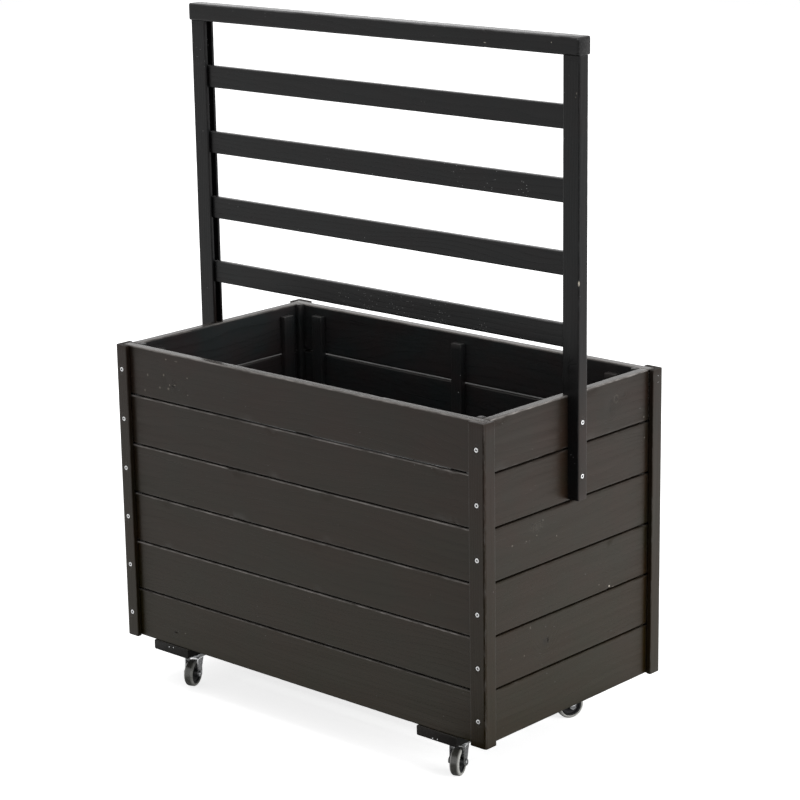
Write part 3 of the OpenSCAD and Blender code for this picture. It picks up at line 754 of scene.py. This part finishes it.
floor_boards = Timber()
for y in FLOOR_BOARD_Y:
    board = bar_outline(BOARD_H, BOARD_T, BOARD_EASING, 5)
    floor_boards.add(board, "x", (y, FLOOR_TOP_Z - BOARD_T / 2), -FLOOR_BOARD_HALF, FLOOR_BOARD_HALF, step=12)
floor_boards.piece("floor_boards")
for side, x in CASTER_X.items():
    batten = bar_outline(CASTER_BATTEN_W, BOARD_T, BOARD_EASING, 5)
    batten = Timber(worn=0.3).add(batten, "y", (x, BOARDS_Z - BOARD_T / 2), -LONG_OUT, LONG_OUT, chip=0.7)
    batten.piece(f"caster_batten_{side}", under_wood)

# --------------------------------------------------------------- trellis

# A post's section with the slats' groove in it: x outward, y and radius
POST = [(-14, -9.5, 2), (14, -9.5, 2), (14, 9.5, 2), (-14, 9.5, 2)]
POST += [(-14, 4.7, 0.6), (-5.8, 4.7, 0), (-5.8, -4.7, 0), (-14, -4.7, 0.6)]
for side, sx in (("left", -1), ("right", 1)):
    shape = [(sx * x, y, r) for x, y, r in POST]
    if sx < 0:
        shape.reverse()
    post = Timber(worn=0.3)
    post.add(eased_polygon(shape, 3), "z", (sx * POST_X, 0), TONGUE_Z, RAIL_UNDER, chip=0.4,
             notch=(RIM_Z, -sx * (POST_X - END_OUT)))
    post = post.piece(f"trellis_post_{side}", trellis_wood, "trellis_wood")
    carve(post, *screw_cutter([(sx * TONGUE_X, 0, board_z(row)) for row in TONGUE_ROWS], (-sx, 0, 0)))
for slat in range(1, 5):
    z = RAIL_UNDER - SLAT_PITCH * slat + SLAT_H / 2
    bar = Timber(worn=0.3).add(bar_outline(9, SLAT_H, 2, 4), "x", (0, z), -SLAT_HALF, SLAT_HALF, chip=0.5)
    bar.piece(f"trellis_slat_{slat}", trellis_wood, "trellis_wood")
RAIL_CHIPS = (
    (358, (-1, 1), 2.5, 0.9), (349, (-1, 1), 3, 0.7), (340, (-1, 1), 4, 0.5), (360, (-1, -1), 3, 0.8),
    (354, (1, 1), 3, 0.7), (204, (-1, -1), 4, 0.5), (-222, (-1, 1), 5, 0.4),
)
rail = Timber(worn=0.6)
rail.add(bar_outline(RAIL_SIDE, RAIL_SIDE, 3.0, 5), "x", (0, RAIL_UNDER + RAIL_SIDE / 2), -RAIL_HALF, RAIL_HALF,
         step=3.0, ends=1.8, chip=0.8, nicks=RAIL_CHIPS)
rail.piece("top_rail", trellis_wood, "trellis_wood")

# --------------------------------------------------------------- casters

# Each caster's place and how far it is turned at rest, in degrees
CASTERS = {
    "front_right": (CASTER_X["right"], -CASTER_Y, 22.0),
    "front_left": (CASTER_X["left"], -CASTER_Y, 21.0),
    "rear_right": (CASTER_X["right"], CASTER_Y, -25.0),
    "rear_left": (CASTER_X["left"], CASTER_Y, 12.0),
}
TRAIL, WHEEL_R, SHEET = 18.0, 20.0, 1.8
CHEEK, CROWN_UNDER, BEND = 10.3, 44.9, 3.1  # middle of the sheet
CHEEK_FRONT, CHEEK_END = -22.5, 4.5


def cheek_reach(z):
    """The fork's cheek from front to back at a height: straight in front, drawn in behind, round about the axle."""
    low = max(0.0, CHEEK_END ** 2 - (z - WHEEL_R) ** 2) ** 0.5
    front = CHEEK_FRONT if z >= WHEEL_R else -TRAIL - low
    tangent, heel = Vector((-13.84, 18.285)), Vector((-2.5, 45.8))
    back = -TRAIL + low
    if z >= tangent.y:
        back = tangent.x + (heel.x - tangent.x) * (z - tangent.y) / (heel.y - tangent.y)
    return front, back


def fork_sheet():
    """The bent sheet as closed skin: down one cheek, over the crown and down the other."""
    path = []
    bottom, top = WHEEL_R - CHEEK_END + 0.02, CROWN_UNDER - BEND
    for k in range(13):
        z = bottom + (top - bottom) * (k / 12) ** 1.6
        path.append((CHEEK, z, 1.0, 0.0, *cheek_reach(z)))
    for k in range(1, 7):
        a = math.pi / 2 * k / 6
        x, z = CHEEK - BEND + BEND * math.cos(a), top + BEND * math.sin(a)
        front, back = cheek_reach(z)
        f = (k / 6) ** 2 * (3 - 2 * k / 6)
        path.append((x, z, math.cos(a), math.sin(a), front, back + (14.5 - back) * f))
    for k in range(1, 5):
        x = (CHEEK - BEND) * (1 - k / 4)
        path.append((x, CROWN_UNDER, 0.0, 1.0, CHEEK_FRONT, (15.6 ** 2 - x * x) ** 0.5))
    path += [(-x, z, -nx, nz, f, b) for x, z, nx, nz, f, b in path[-2::-1]]
    verts, faces, rows, n = [], [], 9, len(path)
    for skin in (1, -1):
        for x, z, nx, nz, front, back in path:
            for k in range(rows):
                y = front + (back - front) * k / (rows - 1)
                verts.append((x + nx * skin * SHEET / 2, y, z + nz * skin * SHEET / 2))
    inner = n * rows
    for i in range(n - 1):
        for k in range(rows - 1):
            a = i * rows + k
            faces.append((a, a + 1, a + rows + 1, a + rows))
            faces.append((inner + a, inner + a + rows, inner + a + rows + 1, inner + a + 1))
        for k in (0, rows - 1):
            a = i * rows + k
            faces.append((a, a + rows, inner + a + rows, inner + a))
    for i in (0, n - 1):
        for k in range(rows - 1):
            a = i * rows + k
            faces.append((a, a + 1, inner + a + 1, inner + a))
    return verts, faces


def upright_axis(along, a, b):
    return a, b, along


def axle_axis(along, a, b):
    return along, a - TRAIL, b + WHEEL_R


def lower_race():
    """The fork's half of the ball race, with a rolled rim."""
    profile = [(44.3, 4.1), (44.3, 15.4), (45.9, 16.0), (48.6, 16.0)]
    for a in (22, 45, 68, 90):
        profile.append((48.6 + 1.9 * math.sin(math.radians(a)), 14.1 + 1.9 * math.cos(math.radians(a))))
    profile += [(50.5, 13.0), (49.9, 12.6), (49.9, 4.1)]
    return lathe(profile, 48, upright_axis)


def hexagon(side, inner, outer, bolt_end):
    """A chamfered hexagon on the axle with the bolt's domed end in it."""
    flats, segments = 4.5, 48
    rings = [(inner, 0.0, 1.0), (outer - 0.7, 0.0, 1.0), (outer - 0.25, 0.35, 0.97), (outer, 0.85, 0.9)]
    verts, faces = [], []
    for x, round_off, scale in rings:
        for k in range(segments):
            a = 2 * math.pi * k / segments
            sector = (a + math.pi / 6) % (math.pi / 3) - math.pi / 6
            hexagonal = flats / math.cos(sector)
            r = (hexagonal + (min(hexagonal, flats * 1.02) - hexagonal) * round_off) * scale
            verts.append(axle_axis(side * x, r * math.cos(a), r * math.sin(a)))
    dome = [(outer - 0.1, 3.2), (outer + 0.15, 2.95), (bolt_end - 0.3, 2.75), (bolt_end - 0.06, 2.0), (bolt_end, 1.0)]
    for x, r in dome:
        for k in range(segments):
            a = 2 * math.pi * k / segments
            verts.append(axle_axis(side * x, r * math.cos(a), r * math.sin(a)))
    count = len(rings) + len(dome)
    for i in range(count - 1):
        for k in range(segments):
            a, b = i * segments + k, i * segments + (k + 1) % segments
            faces.append((a, b, b + segments, a + segments))
    faces.append(tuple(range(segments))[::-1])
    faces.append(tuple(range((count - 1) * segments, count * segments)))
    return verts, faces


def hub_profile():
    """Boss, sunk web and rim, with moulded rounds."""
    half = [(9.1, 3.05), (9.1, 5.4), (8.7, 5.8), (5.0, 6.1), (3.9, 6.9), (3.5, 8.0), (3.5, 11.9), (3.9, 12.6),
            (5.4, 12.9), (5.9, 13.2), (6.0, 13.7), (6.0, 14.9), (5.6, 15.4)]
    return half + [(-a, r) for a, r in half[::-1]]


def tyre_profile():
    """Flat tread with round shoulders, a moulded ring on each side and a fine parting line."""
    half = [(6.4, 15.8), (6.75, 16.1), (6.75, 16.5), (7.0, 16.8)]
    for a in (15, 27, 39, 51, 63, 75, 84):
        half.append((3.0 + 4.0 * math.cos(math.radians(a)), 16.0 + 4.0 * math.sin(math.radians(a))))
    half += [(2.2, 19.98), (1.0, 20.0), (0.35, 20.0), (0.18, 19.88)]
    return half + [(-a, r) for a, r in half[::-1]]


def caster_piece(name, corner, parts, material, body, slot, replaces, ease=None, sharp=42.0, attributes=None):
    x, y, turn = CASTERS[corner]
    move = Matrix.Translation((x, y, 0)) @ Matrix.Rotation(math.radians(turn), 4, "Z")
    verts, faces = joined(*parts)
    verts = [tuple(move @ Vector(v)) for v in verts]
    piece = make(name, verts, faces, material, body, slot, replaces, attributes, sharp)
    if ease:
        ease_edges(piece, ease)


TYRE_SEGMENTS = 96
sidewall = [min(1.0, max(0.0, (abs(along) - 3.6) / 2.6)) for along, _ in tyre_profile()] * TYRE_SEGMENTS
for corner in CASTERS:
    fork, wheel = f"fork_{corner}", f"wheel_{corner}"
    caster_piece(f"fork_{corner}_pressing", corner, [fork_sheet()], zinc, fork, "zinc", (f"caster_fork_{corner}",),
                 ease=0.25)
    caster_piece(f"lower_race_{corner}", corner, [lower_race()], zinc, fork, "zinc", ())
    bolt = lathe([(-11.3, 0.6), (-11.3, 2.95), (11.3, 2.95), (11.3, 0.6)], 32, axle_axis)
    caster_piece(f"axle_bolt_{corner}", corner, [bolt, hexagon(1, 11.2, 13.0, 13.9), hexagon(-1, 11.2, 13.3, 13.9)],
                 zinc, fork, "zinc", (f"caster_axle_{corner}",), sharp=30.0)
    caster_piece(f"hub_{corner}_moulding", corner, [lathe(hub_profile(), 64, axle_axis)], hub_plastic, wheel, "hub",
                 (f"caster_hub_{corner}",))
    caster_piece(f"tyre_{corner}_moulding", corner, [lathe(tyre_profile(), TYRE_SEGMENTS, axle_axis)], tyre_rubber,
                 wheel, "tyre", (f"caster_tyre_{corner}",), attributes={"sidewall": sidewall})

# ---------------------------------------------------------- CAD node looks

for name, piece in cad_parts.items():
    if name.startswith("caster_plate"):
        piece.data.materials.clear()
        piece.data.materials.append(zinc)

# ----------------------------------------------------------------- screws

SCREW_SEGMENTS = 32


def screw(head, inward, recess, body, turn):
    """A screw at a point on a face, going inward. The recess and the body are rings of (inward, radius)."""
    head, inward = Vector(head), Vector(inward)
    side = inward.orthogonal().normalized()
    third = inward.cross(side)
    rings = [(deep, scale, True) for deep, scale in recess] + [(deep, radius, False) for deep, radius in body]
    verts = [head + inward * (recess[0][0] + 0.15)]
    for deep, size, star in rings:
        for k in range(SCREW_SEGMENTS):
            a = 2 * math.pi * k / SCREW_SEGMENTS
            r = size * (1.2 + 0.9 * max(0.0, math.cos(4 * a)) ** 0.8) if star else size
            verts.append(head + inward * deep + (side * math.cos(a + turn) + third * math.sin(a + turn)) * r)
    verts.append(head + inward * (body[-1][0] + 0.2))
    last, faces = len(verts) - 1, []
    for k in range(SCREW_SEGMENTS):
        a, b = 1 + k, 1 + (k + 1) % SCREW_SEGMENTS
        faces.append((0, a, b))
        for ring in range(len(rings) - 1):
            step = ring * SCREW_SEGMENTS
            faces.append((a + step, b + step, b + step + SCREW_SEGMENTS, a + step + SCREW_SEGMENTS))
        step = (len(rings) - 1) * SCREW_SEGMENTS
        faces.append((a + step, last, b + step))
    return [tuple(v) for v in verts], faces


def wood_screw(head, inward, length, turn):
    recess = [(1.7, 0.5), (0.5, 1.0), (0.2, 1.08)]
    body = [(0.2, 2.95), (0.28, 3.15), (0.45, 3.25), (2.2, 1.5), (length - 3.0, 1.5), (length - 0.2, 0.4)]
    return screw(head, inward, recess, body, turn)


def plate_screw(head, turn):
    recess = [(-0.2, 0.5), (-1.55, 0.95), (-1.75, 1.03)]
    body = [(-1.75, 2.2), (-1.55, 2.7), (-1.1, 3.1), (-0.5, 3.25), (0.0, 3.25), (0.0, 1.5), (11.0, 1.5), (13.8, 0.4)]
    return screw(head, (0, 0, 1), recess, body, turn)


all_screws = []
for corner, (sx, sy) in CORNERS.items():
    long_leg, _ = leg_widths(corner)
    for row in ROWS:
        head = (sx * (BOX_HALF - long_leg / 2), sy * BOX_HALF_DEPTH, board_z(row))
        all_screws.append(wood_screw(head, (0, -sy, 0), 20.0, 0.7 * row + sx))
    x, y, _ = CASTERS[corner]
    for ax in (-PLATE_HOLE, PLATE_HOLE):
        for ay in (-PLATE_HOLE, PLATE_HOLE):
            all_screws.append(plate_screw((x + ax, y + ay, PLATE_UNDER), 0.3 * ax + ay))
for sx in (-1, 1):
    for row in TONGUE_ROWS:
        all_screws.append(wood_screw((sx * TONGUE_X, 0, board_z(row)), (-sx, 0, 0), 30.0, row))
# The screw heads' recesses are darkened: dirt and painted shade
grime = [1.0 if k <= 2 * SCREW_SEGMENTS else 0.0 for verts, _ in all_screws for k in range(len(verts))]
make("driven_screws", *joined(*all_screws), screw_zinc, "planter", "zinc", ("screws",), {"grime": grime}, sharp=50.0)

# ------------------------------------------------------------------ brads

# Brad heads seen on the timber: place, the side that they face and radius in mm
BRADS = [((249.0, -183.5, 60.8), (0, -1, 0), 1.0), ((257.7, -183.5, 61.6), (0, -1, 0), 0.9),
         ((-269.4, -183.5, 68.5), (0, -1, 0), 0.8), ((-260.3, -183.5, 69.5), (0, -1, 0), 0.7),
         ((350.0, 180.3, 508.8), (1, 0, 0), 0.5), ((350.0, 180.3, 499.6), (1, 0, 0), 0.5),
         ((8.5, 158.5, 458.8), (0, -1, 0), 0.6), ((4.4, 158.5, 432.5), (0, -1, 0), 0.6)]


def brad(place, out, size):
    profile = [(-0.6, 0.0), (-0.6, 0.85 * size), (0.05, size), (0.2, 0.7 * size), (0.26, 0.0)]
    return turned(profile, 16, level_axis(place, out))


make("brads", *joined(*[brad(*b) for b in BRADS]), zinc, "planter", "zinc")

# ------------------------------------------------------------------- stage

AMBIENT = 0.55  # how bright the world is where it isn't seen


def studio_world():
    """White where it is seen, directly or in a reflection, and a softer light elsewhere."""
    t = Tree(bpy.data.worlds.new("studio"))
    bpy.context.scene.world = t.owner
    rays = t.node("ShaderNodeLightPath").outputs
    seen = t.most(t.most(rays["Is Camera Ray"], rays["Is Glossy Ray"]), rays["Is Transmission Ray"])
    back = t.node("ShaderNodeBackground", {0: WHITE, 1: t.fit(seen, 0.0, 1.0, AMBIENT, 1.0)})
    t.node("ShaderNodeOutputWorld", {0: back})


def lamp(name, place, target, size, power):
    light = bpy.data.lights.new(name, "AREA")
    light.shape = "RECTANGLE"
    light.size, light.size_y = size
    light.energy = power
    made = linked(name, light)
    made.location = place
    made.rotation_euler = (Vector(target) - Vector(place)).to_track_quat("-Z", "Y").to_euler()
    return made


# The part of the floor that is unlit in reflections: a wedge from a point, about a direction
UNLIT_FROM = (0.2, -0.1, 0.0)
UNLIT_TOWARDS = math.radians(-47.7)
# How bright the floor glows in reflections, with a painted shadow under the box
MIRRORED_FLOOR, MIRRORED_FLOOR_RIGHT, UNLIT_FLOOR, UNDER_BOX_PAINTED_SHADOW = 1.16, 1.54, 0.04, 0.15


def floor_material():
    """Matt white floor that keeps the shadow, and turns into plain white background away from the object. In a
    reflection it glows instead, with painted studio light to the left and right, an unlit part in front and a
    painted shadow under the box. From below it is clear."""
    t = Tree(bpy.data.materials.new("studio_floor"))
    place = t.place()
    away = t.vector("LENGTH", place)
    rays = t.node("ShaderNodeLightPath").outputs
    seen = t.times(rays["Is Camera Ray"], t.fit(away, 0.6, 2.2, 0.75, 1.0, smooth=True))
    glow = t.node("ShaderNodeEmission", {"Color": WHITE, "Strength": seen})
    matt = t.node("ShaderNodeBsdfDiffuse", {"Color": (0.8, 0.8, 0.8, 1)})
    lit = t.node("ShaderNodeAddShader", {0: glow, 1: matt})
    front = t.vector("SUBTRACT", place, UNLIT_FROM)
    ahead = t.vector("DOT_PRODUCT", front, (math.cos(UNLIT_TOWARDS), math.sin(UNLIT_TOWARDS), 0.0))
    aside = t.vector("DOT_PRODUCT", front, (-math.sin(UNLIT_TOWARDS), math.cos(UNLIT_TOWARDS), 0.0))
    turn = t.math("ARCTAN2", aside, ahead)
    left = t.fit(turn, math.radians(-56), math.radians(-36), 0.0, 1.0, smooth=True)
    right = t.fit(turn, math.radians(0), math.radians(10), 1.0, 0.0, smooth=True)
    brighter = t.fit(aside, 0.4, 1.5, MIRRORED_FLOOR, MIRRORED_FLOOR_RIGHT)
    brighter = t.times(brighter, t.fit(aside, 1.6, 3.2, 1.0, 0.62))
    across = t.parts(t.vector("ABSOLUTE", place))
    # Painted shadow under the box, seen in reflections
    under = t.times(t.fit(across[0], 0.34, 0.5, 1.0, 0.0), t.fit(across[1], 0.18, 0.34, 1.0, 0.0))
    brighter = t.times(brighter, t.fit(under, 0.0, 1.0, 1.0, UNDER_BOX_PAINTED_SHADOW))
    strength = t.mix(t.times(left, right), brighter, (UNLIT_FLOOR,) * 3)
    mirrored = t.node("ShaderNodeEmission", {"Color": WHITE, "Strength": strength})
    both = t.node("ShaderNodeMixShader", {0: rays["Is Glossy Ray"], 1: lit, 2: mirrored})
    below = t.times(t.node("ShaderNodeNewGeometry").outputs["Backfacing"], rays["Is Camera Ray"])
    both = t.node("ShaderNodeMixShader", {0: below, 1: both, 2: t.node("ShaderNodeBsdfTransparent")})
    t.node("ShaderNodeOutputMaterial", {0: both})
    return t.owner


studio_world()
FLOOR_HALF = 8.0 / MM
corners = [(x * FLOOR_HALF, y * FLOOR_HALF, 0) for x, y in ((-1, -1), (1, -1), (1, 1), (-1, 1))]
mesh = mesh_of("studio_floor", corners, [(0, 1, 2, 3)])
mesh.materials.append(floor_material())
floor = linked("studio_floor", mesh)

lamp("key_light", (3.0, 0.9, 0.8), (0, 0, 0.3), (1.8, 1.2), 75).visible_glossy = False
lamp("top_light", (-0.6, -0.4, 3.4), (0, 0, 0.45), (2.4, 2.0), 30)

bpy.context.scene.view_settings.view_transform = "Standard"

# ------------------------------------------------------------------ camera

CAMERA_PLACE = (2.380734, -2.584351, 1.386861)
CAMERA_AZIMUTH = math.radians(42.261)
CAMERA_ELEVATION = math.radians(14.889)
CAMERA_ROLL = math.radians(-0.881)
SENSOR = 36.0
FOCAL_PIXELS = 2556.142
FRAME_PIXELS = 800

lens = bpy.data.cameras.new("camera")
lens.sensor_width = SENSOR
lens.lens = FOCAL_PIXELS * SENSOR / FRAME_PIXELS
camera = linked("camera", lens)
ahead = Vector((
    -math.sin(CAMERA_AZIMUTH) * math.cos(CAMERA_ELEVATION),
    math.cos(CAMERA_AZIMUTH) * math.cos(CAMERA_ELEVATION),
    -math.sin(CAMERA_ELEVATION),
))
level = Vector((math.cos(CAMERA_AZIMUTH), math.sin(CAMERA_AZIMUTH), 0))
upward = level.cross(ahead)
right = level * math.cos(CAMERA_ROLL) + upward * math.sin(CAMERA_ROLL)
above = upward * math.cos(CAMERA_ROLL) - level * math.sin(CAMERA_ROLL)
camera.matrix_world = Matrix.Translation(CAMERA_PLACE) @ Matrix((right, above, -ahead)).transposed().to_4x4()
bpy.context.scene.camera = camera
